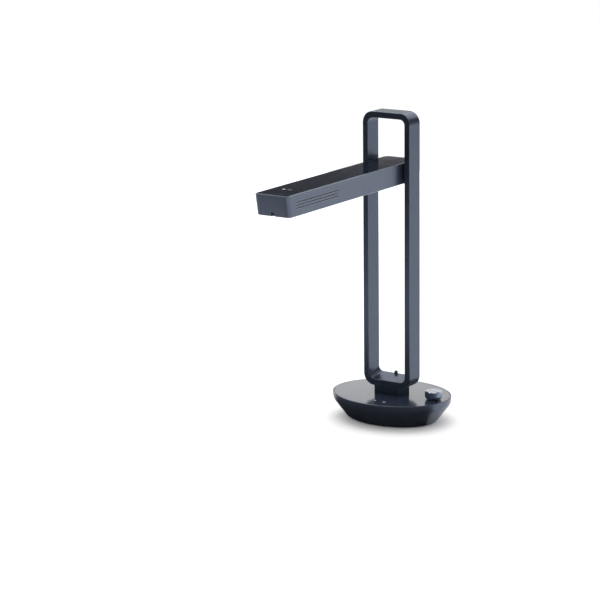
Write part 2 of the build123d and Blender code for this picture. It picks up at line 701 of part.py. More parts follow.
def encoder_body():
    body = round_uprights(box(KNOB_X - 6, KNOB_X + 6, -6, 6, LEDGE_Z - 6.6, LEDGE_Z - 0.1), 0.8)
    body += rod_z(KNOB_X, 0, 3.5, LEDGE_Z - 0.1, BUSH_TOP)
    body -= rod_z(KNOB_X, 0, 4.6, LEDGE_Z - 5.8, LEDGE_Z - 1.6)
    return body - rod_z(KNOB_X, 0, 3.0 + RUNNING, LEDGE_Z - 2, BUSH_TOP + 1)


def encoder_nut():
    nut = Pos(KNOB_X, 0, BASE_H) * extrude(RegularPolygon(5.4, 6), 1.6)
    return nut - rod_z(KNOB_X, 0, 3.52, BASE_H - 1, BASE_H + 4)


def encoder_plunger():
    return rod_z(KNOB_X, 0, 4.2, LEDGE_Z - 4.9, LEDGE_Z - 3.9)


def knob_shaft():
    return rod_z(KNOB_X, 0, 3.0, LEDGE_Z - 3.6, KNOB_Z1 - 1.8)


def knob_cap():
    """Hollow cap, bored for the shaft and drawn in a little at its foot."""
    seat = BUSH_TOP + 1.1
    roof = KNOB_Z1 - 2.8
    return turned([(0, KNOB_Z1), (KNOB_R - 0.9, KNOB_Z1), (KNOB_R, KNOB_Z1 - 0.7), (KNOB_R, KNOB_Z0 + 2.2),
                   (KNOB_R - 1.0, KNOB_Z0), (7.4, KNOB_Z0), (7.4, roof), (4.8, roof), (4.8, seat), (3.0, seat),
                   (3.0, KNOB_Z1 - 1.8), (0, KNOB_Z1 - 1.8)], KNOB_X, 0)


# ---------------------------------------------------------------- write every sub-part
save("base_shell", base_shell())
save("port_tray", port_tray())
save("base_top_plate", base_top_plate())
save("status_light_pipes", *status_light_pipes())
save("bottom_cover", bottom_cover())
save("rubber_foot_ring", rubber_foot_ring())
save("bottom_cover_screws", *bottom_cover_screws())
save("ballast_plate", ballast_plate())
save("column_screws", *column_screws())
save("column_frame", column_frame())
save("channel_cover", channel_cover())
save("fold_nub", fold_nub())
save("column_wire_harness", column_wire_harness())
save("hinge_spindles", *hinge_spindles())
save("thrust_washers", *thrust_washers())
save("spring_washers", *spring_washers())
save("hinge_nuts", *hinge_nuts())
save("hinge_blocks", *hinge_blocks())
save("head_shell", head_shell())
save("head_top_panel", head_top_panel())
save("key_light_pipes", *key_light_pipes())
save("touch_board", touch_board())
save("head_bottom_cover", head_bottom_cover())
save("head_cover_screws", *head_cover_screws())
save("front_diffuser", diffuser("front"))
save("main_diffuser", diffuser("main"))
save("led_heat_sinks", led_heat_sink("front"), led_heat_sink("main"))
save("led_boards", led_board("front"), led_board("main"))
save("led_chips", *led_chips())
save("head_chassis", head_chassis())
save("chassis_screws", *chassis_screws())
save("camera_board", camera_board())
save("camera_screws", *camera_screws())
save("lens_holder", lens_holder())
save("lens_barrel", lens_barrel())
save("front_lens", front_lens())
save("lens_bezel", lens_bezel())
save("lens_window", lens_window())
save("head_wire_harness", head_wire_harness())
save("main_board", main_board())
save("board_screws", *board_screws())
save("board_spacers", *board_spacers())
save("board_components", *board_components())
save("dc_inlet", dc_inlet())
save("usb_port", usb_port())
save("switch_housing", switch_housing())
save("power_rocker", power_rocker())
save("encoder_body", encoder_body())
save("encoder_nut", encoder_nut())
save("encoder_plunger", encoder_plunger())
save("knob_shaft", knob_shaft())
save("knob_cap", knob_cap())
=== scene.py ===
"""Looks of the folding book scanner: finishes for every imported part, a few fine pieces, studio and camera."""
import bmesh
import bpy
import math
from mathutils import Matrix, Vector


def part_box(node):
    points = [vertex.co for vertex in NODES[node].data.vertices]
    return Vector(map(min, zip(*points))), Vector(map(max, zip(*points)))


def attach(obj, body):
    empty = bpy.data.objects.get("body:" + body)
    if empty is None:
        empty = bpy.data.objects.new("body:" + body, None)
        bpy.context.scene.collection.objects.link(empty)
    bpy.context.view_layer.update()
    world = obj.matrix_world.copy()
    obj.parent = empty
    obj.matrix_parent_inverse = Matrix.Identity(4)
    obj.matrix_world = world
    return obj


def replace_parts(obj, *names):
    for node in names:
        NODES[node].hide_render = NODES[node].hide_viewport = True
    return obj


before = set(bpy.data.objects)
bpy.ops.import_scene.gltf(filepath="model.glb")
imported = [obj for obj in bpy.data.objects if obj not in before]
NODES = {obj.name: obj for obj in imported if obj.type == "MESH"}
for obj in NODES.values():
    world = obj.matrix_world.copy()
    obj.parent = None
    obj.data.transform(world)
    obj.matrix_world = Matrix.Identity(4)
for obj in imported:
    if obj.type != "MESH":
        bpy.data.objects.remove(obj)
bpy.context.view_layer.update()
MM = 0.001


# ---------------------------------------------------------------- camera
CAMERA_AZIMUTH = math.radians(33.69)
CAMERA_ELEVATION = math.radians(13.27)
CAMERA_ROLL = math.radians(-0.66)
CAMERA_DISTANCE = 2.6923
CAMERA_LENS = 144.0
AIM_RIGHT = -0.1031      # the picture's centre lies this far right of the foot's centre
AIM_UP = 0.1318          # and this far up, both across the line of sight


def make_camera():
    az, el, roll = CAMERA_AZIMUTH, CAMERA_ELEVATION, CAMERA_ROLL
    back = Vector((math.sin(az) * math.cos(el), -math.cos(az) * math.cos(el), math.sin(el)))
    level = Vector((math.cos(az), math.sin(az), 0.0))
    upright = back.cross(level)
    right = level * math.cos(roll) + upright * math.sin(roll)
    up = upright * math.cos(roll) - level * math.sin(roll)
    place = back * CAMERA_DISTANCE + right * AIM_RIGHT + up * AIM_UP
    data = bpy.data.cameras.new("studio_camera")
    data.lens = CAMERA_LENS
    data.sensor_width = 36.0
    camera = bpy.data.objects.new("studio_camera", data)
    camera.matrix_world = Matrix(
        ((right.x, up.x, back.x, place.x),
         (right.y, up.y, back.y, place.y),
         (right.z, up.z, back.z, place.z),
         (0, 0, 0, 1)))
    bpy.context.scene.collection.objects.link(camera)
    bpy.context.scene.camera = camera


# ---------------------------------------------------------------- shader maths
class Wire:
    """A shader socket that takes part in Python arithmetic."""

    def __init__(self, graph, socket):
        self.graph = graph
        self.socket = socket

    def maths(self, operation, *values):
        sockets = {index: value for index, value in enumerate(values)}
        return self.graph.node("ShaderNodeMath", {"operation": operation}, sockets)

    def __add__(self, other):
        return self.maths("ADD", self, other)

    def __radd__(self, other):
        return self.maths("ADD", other, self)

    def __sub__(self, other):
        return self.maths("SUBTRACT", self, other)

    def __rsub__(self, other):
        return self.maths("SUBTRACT", other, self)

    def __mul__(self, other):
        return self.maths("MULTIPLY", self, other)

    def __rmul__(self, other):
        return self.maths("MULTIPLY", other, self)

    def __truediv__(self, other):
        return self.maths("DIVIDE", self, other)

    def __rtruediv__(self, other):
        return self.maths("DIVIDE", other, self)

    def __pow__(self, other):
        return self.maths("POWER", self, other)

    def __gt__(self, other):
        return self.maths("GREATER_THAN", self, other)

    def __lt__(self, other):
        return self.maths("LESS_THAN", self, other)

    def clamp(self):
        return self.graph.node("ShaderNodeClamp", {}, {"Value": self})

    def sine(self):
        return self.maths("SINE", self)


class Graph:
    """One material's node tree, with short ways to add to it."""

    def __init__(self, name):
        self.material = bpy.data.materials.new(name)
        self.material.use_nodes = True
        self.tree = self.material.node_tree
        self.tree.nodes.clear()
        self.out = self.tree.nodes.new("ShaderNodeOutputMaterial")

    def node(self, kind, settings, sockets, output=0):
        made = self.tree.nodes.new(kind)
        for key, value in settings.items():
            setattr(made, key, value)
        for key, value in sockets.items():
            self.feed(made.inputs[key], value)
        return Wire(self, made.outputs[output])

    def feed(self, socket, value):
        if isinstance(value, Wire):
            self.tree.links.new(value.socket, socket)
        elif socket.type == "RGBA" and len(value) == 3:
            socket.default_value = (*value, 1.0)
        else:
            socket.default_value = value

    def place(self, centre=(0, 0, 0)):
        """Object coordinates about a centre."""
        coordinates = self.node("ShaderNodeTexCoord", {}, {}, "Object")
        sockets = {"Vector": coordinates, "Location": [-c for c in centre]}
        return self.node("ShaderNodeMapping", {"vector_type": "POINT"}, sockets)

    def stretched(self, times):
        """Object coordinates multiplied axis by axis, for patterns drawn out along an edge."""
        return self.node("ShaderNodeVectorMath", {"operation": "MULTIPLY"}, {0: self.place(), 1: times})

    def axes(self, vector):
        return [self.node("ShaderNodeSeparateXYZ", {}, {"Vector": vector}, axis) for axis in "XYZ"]

    def noise(self, vector, scale, detail=3.0, roughness=0.5):
        sockets = {"Vector": vector, "Scale": scale, "Detail": detail, "Roughness": roughness}
        return self.node("ShaderNodeTexNoise", {}, sockets, 0)

    def blend(self, factor, first, second):
        """Mixes two colours."""
        return self.node("ShaderNodeMix", {"data_type": "RGBA"}, {0: factor, 6: first, 7: second}, 2)

    def bump(self, height, distance, strength):
        sockets = {"Height": height, "Distance": distance, "Strength": strength}
        return self.node("ShaderNodeBump", {}, sockets, "Normal")

    def edge_wear_and_highlight(self, radius, low, high):
        """1 on convex edges, 0 on flats: wear on the black plastic, a painted edge highlight on the slate."""
        normal = self.node("ShaderNodeNewGeometry", {}, {}, "Normal")
        soft = self.node("ShaderNodeBevel", {"samples": 4}, {"Radius": radius}, 0)
        turn = self.node("ShaderNodeVectorMath", {"operation": "DOT_PRODUCT"}, {0: normal, 1: soft}, "Value")
        sockets = {"Value": turn, "From Min": low, "From Max": high, "To Min": 1.0, "To Max": 0.0}
        return self.node("ShaderNodeMapRange", {"clamp": True}, sockets)

    def finish(self, **sockets):
        """The Principled shader, with the sockets given by name."""
        named = {key.replace("_", " ").title().replace("Ior", "IOR"): value for key, value in sockets.items()}
        shader = self.node("ShaderNodeBsdfPrincipled", {}, named)
        self.tree.links.new(shader.socket, self.out.inputs["Surface"])
        return self.material


# ---------------------------------------------------------------- finishes
SLATE_DARK = (0.080, 0.098, 0.136)
SLATE_LIGHT = (0.108, 0.130, 0.174)
LENS_CENTRE = (0, -0.19, 0)
LENS_RADIUS = 7.5 * MM


def slate_coat(name, roughness=0.33, trim=None, tint_and_painted_light=(1.0, 1.0, 1.0)):
    """Anodised slate-blue aluminium: fine blasted grain, faint cloudiness, and a painted highlight that lightens
    the convex edges.

    trim is (x, y, top, low, high): a machined crown at height top, with a diamond-cut band between two radii.
    high is not used.
    """
    g = Graph(name)
    place = g.place()
    grain_fine = g.noise(place, 2600.0, 2.0, 0.6)
    grain_soft = g.noise(place, 420.0, 3.0, 0.55)
    cloud = g.noise(place, 14.0, 4.0, 0.6)
    flake = g.node("ShaderNodeTexVoronoi", {"feature": "F1"}, {"Vector": place, "Scale": 3800.0}, 1)
    sparkle = g.node("ShaderNodeSeparateColor", {}, {"Color": flake}, 0)
    # the tint scales both tones: the column copy is tinted darker as painted shade, the knob copy lighter as
    # painted light
    tones = [tuple(t * c for t, c in zip(tint_and_painted_light, tone)) for tone in (SLATE_DARK, SLATE_LIGHT)]
    base = g.blend((cloud * 0.9 + grain_soft * 0.25 - 0.1).clamp(), *tones)
    lively = g.blend((sparkle > 0.93) * 0.3, base, (0.24, 0.26, 0.32))
    # painted highlight: the convex edges are lightened toward pale grey, standing in for the bevel highlight
    wear_and_edge_highlight = g.edge_wear_and_highlight(0.0006, 0.82, 0.99)
    colour = g.blend(wear_and_edge_highlight * 0.7, lively, (0.46, 0.49, 0.56))
    rough = (cloud * 0.06 + grain_soft * 0.08 + (roughness - 0.07)) - wear_and_edge_highlight * 0.06
    height = grain_fine * 0.6 + grain_soft * 0.4
    if trim:
        x, y, z = g.axes(g.place(centre=trim[:3]))
        radius = (x * x + y * y) ** 0.5
        crown = z > -0.75 * MM
        band = crown * (radius > trim[3])
        rings = (radius * 21000.0).sine() * 0.5 + 0.5
        # the crown is lightened partly as its machined finish and partly as a painted highlight
        colour = g.blend(crown * 0.8 + band * 0.2, colour, (0.36, 0.38, 0.43))
        rough = rough - band * 0.1
        height = height * (1.0 - crown * 0.7) + rings * crown * 0.5
    normal = g.bump(height, 0.000012, 0.55)
    return g.finish(base_color=colour, metallic=0.9, roughness=rough, normal=normal, specular_ior_level=0.5,
                    coat_weight=0.05, coat_roughness=0.25)


def mirror_panel(name, tint_and_painted_light, roughness):
    """Hard-coated black acrylic: near-perfect mirror with a trace of moulding waviness, dust and hairlines."""
    g = Graph(name)
    place = g.place()
    dust = g.noise(place, 900.0, 2.0, 0.7)
    smear = g.noise(place, 22.0, 3.0, 0.6)
    wave = g.noise(place, 9.0, 1.0, 0.4)
    specks = (dust > 0.80) * 0.4
    colour = g.blend(specks * 0.05, tint_and_painted_light, (0.20, 0.20, 0.24))
    rough = smear * 0.03 + roughness + specks * 0.03
    normal = g.bump(wave, 0.00003, 0.15)
    return g.finish(base_color=colour, roughness=rough, metallic=0.0, normal=normal, ior=1.5)


def moulded_plastic(name, colour=(0.018, 0.019, 0.022), roughness=0.5):
    """Spark-eroded black plastic."""
    g = Graph(name)
    place = g.place()
    pits = g.noise(place, 900.0, 3.0, 0.65)
    cloud = g.noise(place, 18.0, 3.0, 0.5)
    light = tuple(1.5 * c + 0.006 for c in colour)
    tone = g.blend((pits * 0.6 + cloud * 0.5 - 0.15).clamp(), colour, light)
    wear_and_edge_highlight = g.edge_wear_and_highlight(0.0004, 0.80, 0.98)
    tone = g.blend(wear_and_edge_highlight * 0.3, tone, tuple(2.4 * c + 0.02 for c in colour))
    rough = pits * 0.16 + (roughness - 0.08)
    return g.finish(base_color=tone, roughness=rough, normal=g.bump(pits, 0.00003, 0.6))


def soft_rubber(name):
    """Matte black rubber with bloom."""
    g = Graph(name)
    place = g.place()
    pores = g.noise(place, 1500.0, 3.0, 0.7)
    bloom = g.noise(place, 60.0, 4.0, 0.65)
    tone = g.blend((bloom * 1.2 - 0.3).clamp(), (0.012, 0.012, 0.013), (0.040, 0.040, 0.043))
    rough = pores * 0.15 + 0.72
    return g.finish(base_color=tone, roughness=rough, normal=g.bump(pores, 0.00004, 0.7))


def plated_steel(name, colour=(0.52, 0.53, 0.55), roughness=0.28, along=(1, 1, 30)):
    """Zinc-plated or machined metal with drawn lines."""
    g = Graph(name)
    lines = g.noise(g.stretched(along), 160.0, 4.0, 0.6)
    spots = g.noise(g.place(), 240.0, 3.0, 0.6)
    dull = tuple(0.62 * c for c in colour)
    tone = g.blend((spots * 1.1 - 0.25).clamp(), colour, dull)
    rough = lines * 0.16 + spots * 0.08 + (roughness - 0.1)
    return g.finish(base_color=tone, metallic=1.0, roughness=rough, normal=g.bump(lines, 0.000015, 0.5))


def turned_metal(name, centre, colour, roughness=0.26):
    """Metal faced on a lathe: fine rings about a vertical axis."""
    g = Graph(name)
    place = g.place(centre=centre)
    x, y, _z = g.axes(place)
    radius = (x * x + y * y) ** 0.5
    rings = (radius * 26000.0).sine() * 0.5 + 0.5
    spots = g.noise(place, 300.0, 3.0, 0.6)
    tone = g.blend((spots * 0.8).clamp(), colour, tuple(0.7 * c for c in colour))
    rough = rings * 0.06 + spots * 0.06 + (roughness - 0.06)
    return g.finish(base_color=tone, metallic=1.0, roughness=rough, normal=g.bump(rings, 0.000008, 0.6))


def milky_window(name):
    """Opal diffuser with a fine prismatic back that shows faintly."""
    g = Graph(name)
    place = g.place()
    x, y, _z = g.axes(place)
    cells = (x * 5200.0).sine() * (y * 5200.0).sine()
    haze = g.noise(place, 80.0, 3.0, 0.5)
    tone = g.blend((haze * 0.6).clamp(), (0.78, 0.79, 0.80), (0.66, 0.68, 0.70))
    rough = haze * 0.08 + 0.26
    return g.finish(base_color=tone, roughness=rough, normal=g.bump(cells, 0.00001, 0.5), subsurface_weight=0.25,
                    subsurface_scale=0.004)


def circuit_board(name):
    """Green solder mask with copper traces, pads and silk dust."""
    g = Graph(name)
    place = g.place()
    x, y, _z = g.axes(place)
    traces = g.node("ShaderNodeTexBrick", {"offset": 0.5},
                    {"Vector": place, "Scale": 220.0, "Mortar Size": 0.03,
                     "Color1": (0, 0, 0), "Color2": (0.2, 0.2, 0.2), "Mortar": (1, 1, 1)}, 1)
    pads = g.node("ShaderNodeTexVoronoi", {"feature": "F1"}, {"Vector": place, "Scale": 420.0}, 0)
    copper = (pads < 0.22) * 0.9
    weave = (x * 9000.0).sine() * (y * 9000.0).sine()
    mask = g.blend(traces * 0.7, (0.010, 0.060, 0.030), (0.020, 0.130, 0.062))
    tone = g.blend(copper, mask, (0.72, 0.52, 0.22))
    rough = 0.34 - copper * 0.08
    normal = g.bump(traces * 0.6 + copper + weave * 0.05, 0.00003, 0.6)
    return g.finish(base_color=tone, metallic=copper, roughness=rough, normal=normal)


def flat_cable(name):
    """Ribbon of parallel leads in a thin jacket."""
    g = Graph(name)
    x, y, _z = g.axes(g.place())
    leads = ((x + y) * 6200.0).sine() * 0.5 + 0.5
    tone = g.blend(leads * 0.7, (0.030, 0.030, 0.034), (0.110, 0.110, 0.120))
    return g.finish(base_color=tone, roughness=leads * 0.1 + 0.42, normal=g.bump(leads, 0.00008, 0.8))


def coated_glass(name, centre, radius):
    """Lens glass with an anti-reflection coat; the coat's reflection is painted into the colour, violet in the
    middle and green towards the edge.
    """
    g = Graph(name)
    place = g.place(centre=centre)
    x, y, _z = g.axes(place)
    smear = g.noise(place, 260.0, 3.0, 0.6)
    # painted reflection: the colour moves from violet to green with distance from the lens centre
    coat_reflection_shift = ((x * x + y * y) ** 0.5 / radius + smear * 0.3 - 0.15).clamp()
    tint_and_painted_light = g.blend(coat_reflection_shift, (0.10, 0.03, 0.16), (0.02, 0.12, 0.10))
    rough = smear * 0.03 + 0.01
    return g.finish(base_color=tint_and_painted_light, roughness=rough, transmission_weight=0.75, ior=1.52, coat_weight=1.0,
                    coat_roughness=0.01, metallic=0.0)


def lamp_phosphor(name):
    """Yellow phosphor in a white lamp package."""
    g = Graph(name)
    place = g.place()
    speckle = g.noise(place, 3000.0, 2.0, 0.6)
    tone = g.blend(speckle, (0.85, 0.70, 0.12), (0.93, 0.88, 0.62))
    return g.finish(base_color=tone, roughness=speckle * 0.2 + 0.4, normal=g.bump(speckle, 0.00004, 0.5))


def touch_mark(name, glow):
    """White back-lit print under a hard coat."""
    g = Graph(name)
    place = g.place()
    grain = g.noise(place, 1800.0, 2.0, 0.5)
    tone = g.blend(grain, (0.62, 0.64, 0.68), (0.78, 0.80, 0.84))
    return g.finish(base_color=tone, roughness=grain * 0.05 + 0.12, emission_color=(0.8, 0.88, 1.0, 1.0),
                    emission_strength=glow, coat_weight=0.5, coat_roughness=0.05)


def paint_nodes():
    knob_low, knob_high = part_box("knob_cap")
    knob_centre = tuple((a + b) / 2 for a, b in zip(knob_low, knob_high))
    slate = slate_coat("slate_coat")
    # painted shade: the column's copy of the slate is tinted darker, standing in for the shade on its faces
    slate_column_painted_shade = slate_coat("slate_coat_column_painted_shade", 0.31, None, (0.58, 0.63, 0.70))
    slate_arm = slate_coat("slate_coat_arm", 0.31)
    mirror = mirror_panel("gloss_panel", (0.017, 0.023, 0.040), 0.15)
    # painted shade: the arm's top panel is a copy of the gloss panel with a darker colour, for the shade on the
    # arm's top
    mirror_arm_painted_shade = mirror_panel("gloss_panel_arm_painted_shade", (0.009, 0.011, 0.019), 0.055)
    black = moulded_plastic("black_moulding")
    steel = plated_steel("zinc_plated_steel")
    bare = plated_steel("bare_aluminium", (0.68, 0.69, 0.71), 0.34, (1, 30, 1))
    brass = plated_steel("nickelled_brass", (0.66, 0.55, 0.34), 0.24)
    board = circuit_board("circuit_board")
    cable = flat_cable("flat_cable")
    glass = coated_glass("coated_lens_glass", LENS_CENTRE, LENS_RADIUS)
    opal = milky_window("opal_window")
    rubber = soft_rubber("foot_rubber")
    knob_radius = (knob_high[0] - knob_low[0]) / 2
    # painted light: the knob's copy of the slate is tinted about twice as light, standing in for the highlight on
    # its side
    knob_painted_light = slate_coat("knob_coat_painted_light", 0.26, (*knob_centre[:2], knob_high[2], knob_radius - 0.9 * MM),
                      (1.8, 1.85, 2.0))
    finishes = {
        slate: "base_shell",
        slate_column_painted_shade: "column_frame channel_cover",
        slate_arm: "head_shell",
        mirror: "base_top_plate",
        mirror_arm_painted_shade: "head_top_panel",
        black: "bottom_cover port_tray switch_housing head_bottom_cover thrust_washers lens_holder lens_barrel "
               "board_components dc_inlet encoder_body encoder_plunger power_rocker",
        rubber: "rubber_foot_ring fold_nub",
        steel: "bottom_cover_screws ballast_plate column_screws hinge_spindles spring_washers hinge_nuts "
               "head_cover_screws head_chassis chassis_screws camera_screws board_screws usb_port knob_shaft",
        bare: "hinge_blocks led_heat_sinks",
        brass: "board_spacers encoder_nut",
        board: "touch_board led_boards camera_board main_board",
        cable: "column_wire_harness head_wire_harness",
        glass: "front_lens lens_window",
        opal: "front_diffuser main_diffuser",
        lamp_phosphor("lamp_phosphor"): "led_chips",
        touch_mark("key_light", 0.05): "key_light_pipes",
        touch_mark("status_light", 0.02): "status_light_pipes",
        turned_metal("bezel_metal", LENS_CENTRE, (0.30, 0.31, 0.34)): "lens_bezel",
        knob_painted_light: "knob_cap",
    }
    for material, names in finishes.items():
        for name in names.split():
            slots = NODES[name].data.materials
            slots.clear()
            slots.append(material)
    missing = [n for n in NODES if n not in " ".join(finishes.values()).split()]
    assert not missing, missing


# ---------------------------------------------------------------- fine pieces
def mesh_object(name, points, faces):
    mesh = bpy.data.meshes.new(name)
    mesh.from_pydata(points, [], faces)
    mesh.update()
    made = bpy.data.objects.new(name, mesh)
    bpy.context.scene.collection.objects.link(made)
    return made


LAYOUT_SEED = 7


def repeat_tree(name, solid, material, spread):
    """Node tree that lays a small solid out on a grid, a hair unevenly, as one mesh.

    Its inputs are Rows, Columns, Row Pitch and Column Pitch. spread is the unevenness in radians.
    """
    tree = bpy.data.node_groups.new(name, "GeometryNodeTree")
    face = tree.interface
    face.new_socket(name="Geometry", in_out="INPUT", socket_type="NodeSocketGeometry")
    names = ("Rows", "Columns", "Row Pitch", "Column Pitch")
    kinds = ("NodeSocketInt", "NodeSocketInt", "NodeSocketFloat", "NodeSocketFloat")
    inputs = {n: face.new_socket(name=n, in_out="INPUT", socket_type=k).identifier for n, k in zip(names, kinds)}
    face.new_socket(name="Geometry", in_out="OUTPUT", socket_type="NodeSocketGeometry")

    def node(kind, settings=(), **links):
        made = tree.nodes.new(kind)
        for key, value in dict(settings).items():
            setattr(made, key, value)
        for key, value in links.items():
            socket = made.inputs[key.replace("_", " ")]
            if isinstance(value, bpy.types.NodeSocket):
                tree.links.new(value, socket)
            else:
                socket.default_value = value
        return made

    def maths(operation, first, second):
        made = tree.nodes.new("ShaderNodeMath")
        made.operation = operation
        for socket, value in zip(made.inputs, (first, second)):
            if isinstance(value, bpy.types.NodeSocket):
                tree.links.new(value, socket)
            else:
                socket.default_value = value
        return made.outputs[0]

    given = tree.nodes.new("NodeGroupInput").outputs
    width = maths("MULTIPLY", given["Column Pitch"], maths("SUBTRACT", given["Columns"], 1.0))
    height = maths("MULTIPLY", given["Row Pitch"], maths("SUBTRACT", given["Rows"], 1.0))
    grid = node("GeometryNodeMeshGrid", Size_X=width, Size_Y=height, Vertices_X=given["Columns"],
                Vertices_Y=given["Rows"])
    shape = node("GeometryNodeObjectInfo", Object=solid)
    wobble = node("FunctionNodeRandomValue", {"data_type": "FLOAT_VECTOR"}, Seed=LAYOUT_SEED)
    wobble.inputs["Min"].default_value = (-spread, -spread, -spread)
    wobble.inputs["Max"].default_value = (spread, spread, spread)
    laid = node("GeometryNodeInstanceOnPoints", Points=grid.outputs["Mesh"], Instance=shape.outputs["Geometry"],
                Rotation=wobble.outputs["Value"])
    real = node("GeometryNodeRealizeInstances", Geometry=laid.outputs["Instances"])
    painted = node("GeometryNodeSetMaterial", Geometry=real.outputs["Geometry"], Material=material)
    out = tree.nodes.new("NodeGroupOutput")
    tree.links.new(painted.outputs["Geometry"], out.inputs["Geometry"])
    return tree, inputs


def laid_out(name, solid, material, rows, columns, row_pitch, column_pitch, move, spread=0.0):
    """Runs repeat_tree once; the grid lies in XY before move places it. Gives points and faces."""
    tree, inputs = repeat_tree(name + "_tree", solid, material, spread)
    carrier = mesh_object(name + "_carrier", [(0, 0, 0)], [])
    modifier = carrier.modifiers.new("layout", "NODES")
    modifier.node_group = tree
    values = {"Rows": rows, "Columns": columns, "Row Pitch": row_pitch, "Column Pitch": column_pitch}
    for key, value in values.items():
        modifier[inputs[key]] = value
    bpy.context.view_layer.update()
    depsgraph = bpy.context.evaluated_depsgraph_get()
    mesh = bpy.data.meshes.new_from_object(carrier.evaluated_get(depsgraph))
    mesh.transform(move)
    carrier.modifiers.remove(modifier)
    bpy.data.objects.remove(carrier)
    return mesh


def joined(name, meshes, material):
    """One piece from several meshes."""
    points, faces = [], []
    for mesh in meshes:
        first = len(points)
        points += [tuple(v.co) for v in mesh.vertices]
        faces += [tuple(first + i for i in f.vertices) for f in mesh.polygons]
    made = mesh_object(name, points, faces)
    made.data.materials.append(material)
    return made


WIRE_SIDES = 6


def wire_piece(name, length, radius, turns):
    """Woven wire along X: a thin round bar that waves up and down turns times."""
    steps, sides = turns * 4, WIRE_SIDES
    points, faces = [], []
    for i in range(steps + 1):
        x = length * (i / steps - 0.5)
        lift = radius * math.sin(2 * math.pi * turns * i / steps)
        for k in range(sides):
            angle = 2 * math.pi * k / sides
            points.append((x, radius * math.cos(angle), lift + radius * math.sin(angle)))
    for i in range(steps):
        for k in range(sides):
            a, b = i * sides + k, i * sides + (k + 1) % sides
            faces.append((a, b, b + sides, a + sides))
    faces.append(tuple(reversed(range(sides))))
    faces.append(tuple(steps * sides + k for k in range(sides)))
    return mesh_object(name, points, faces)


def facing_out(piece):
    """Turns every face outward."""
    work = bmesh.new()
    work.from_mesh(piece.data)
    bmesh.ops.recalc_face_normals(work, faces=work.faces)
    work.to_mesh(piece.data)
    work.free()
    return piece


VENT_Y0, VENT_Y1 = -0.2165, -0.1395
VENT_Z = 0.281
CLOTH_X = 0.0181
CLOTH_PITCH = 0.0007


def vent_cloth(material):
    """Woven dust cloth behind the vent slots, on both sides of the arm."""
    long, high = VENT_Y1 - VENT_Y0, 0.0084
    rows, columns = round(high / CLOTH_PITCH) + 1, round(long / CLOTH_PITCH) + 1
    warp = wire_piece("warp_wire", long, 0.00011, (columns - 1) // 2)
    weft = wire_piece("weft_wire", high, 0.00011, (rows - 1) // 2)
    weft.data.transform(Matrix.Rotation(math.pi / 2, 4, "Z"))
    meshes = []
    for side in (-1, 1):
        centre = Matrix.Translation((side * CLOTH_X, (VENT_Y0 + VENT_Y1) / 2, VENT_Z))
        upright = centre @ Matrix.Rotation(math.pi / 2, 4, "Z") @ Matrix.Rotation(math.pi / 2, 4, "X")
        meshes.append(laid_out("warp", warp, material, rows, 1, CLOTH_PITCH, CLOTH_PITCH, upright))
        meshes.append(laid_out("weft", weft, material, 1, columns, CLOTH_PITCH, CLOTH_PITCH, upright))
    for wire in (warp, weft):
        bpy.data.objects.remove(wire)
    cloth = facing_out(joined("vent_dust_cloth", meshes, material))
    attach(cloth, "arm")


def contact_blade(name):
    """Sprung contact: a flat tail, a crest and a lead-in tip, along X."""
    line = [(-0.0034, 0.0), (0.0006, 0.0), (0.0016, 0.00028), (0.0024, 0.00034), (0.0031, 0.00012), (0.0034, 0.0)]
    half, thick = 0.0005, 0.00012
    points, faces = [], []
    for x, z in line:
        points += [(x, -half, z), (x, half, z), (x, half, z + thick), (x, -half, z + thick)]
    for i in range(len(line) - 1):
        for k in range(4):
            a, b = 4 * i + k, 4 * i + (k + 1) % 4
            faces.append((a, b, b + 4, a + 4))
    faces += [(3, 2, 1, 0), tuple(4 * (len(line) - 1) + k for k in range(4))]
    return mesh_object(name, points, faces)


def port_contacts(material):
    """Four gilt contacts on the tongue of the square socket, two above and two below."""
    low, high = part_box("usb_port")
    blade = contact_blade("contact_blade")
    centre_x, mouth_y = (low.x + high.x) / 2, high.y - 1.3 * MM
    tongue_low, tongue_high = low.z + 3.8 * MM, low.z + 7.0 * MM
    meshes = []
    for height, flip in ((tongue_high, 0.0), (tongue_low, math.pi)):
        place = Matrix.Translation((centre_x, mouth_y - 3.4 * MM, height))
        turn = Matrix.Rotation(math.pi / 2, 4, "Z") @ Matrix.Rotation(flip, 4, "X")
        meshes.append(laid_out("contacts", blade, material, 2, 1, 2.5 * MM, 2.5 * MM, place @ turn, 0.004))
    bpy.data.objects.remove(blade)
    contacts = facing_out(joined("usb_contacts", meshes, material))
    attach(contacts, "base")


def grooved_foot(material):
    """Rubber foot ring with shallow grooves round its tread, in place of the plain one."""
    low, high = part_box("rubber_foot_ring")
    outer = ((high.x - low.x) / 2, (high.y - low.y) / 2)
    width, top, grooves, steps = 8.8 * MM, high.z, 5, 192
    edge = 0.4 * MM
    profile = [(0, top), (0, edge), (edge * 0.3, edge * 0.3), (edge, 0)]
    pitch = (width - 2 * edge) / (2 * grooves + 1)
    for i in range(grooves):
        start = edge + pitch * (2 * i + 1)
        profile += [(start, 0), (start + 0.12 * pitch, 0.35 * MM), (start + 0.88 * pitch, 0.35 * MM),
                    (start + pitch, 0)]
    profile += [(width - edge, 0), (width - edge * 0.3, edge * 0.3), (width, edge), (width, top)]
    points, faces = [], []
    for i in range(steps):
        angle = 2 * math.pi * i / steps
        for inset, z in profile:
            points.append(((outer[0] - inset) * math.cos(angle), (outer[1] - inset) * math.sin(angle), z))
    n = len(profile)
    for i in range(steps):
        j = (i + 1) % steps
        for k in range(n):
            m = (k + 1) % n
            faces.append((i * n + k, i * n + m, j * n + m, j * n + k))
    ring = facing_out(mesh_object("grooved_foot_ring", points, faces))
    ring.data.materials.append(material)
    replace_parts(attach(ring, "base"), "rubber_foot_ring")


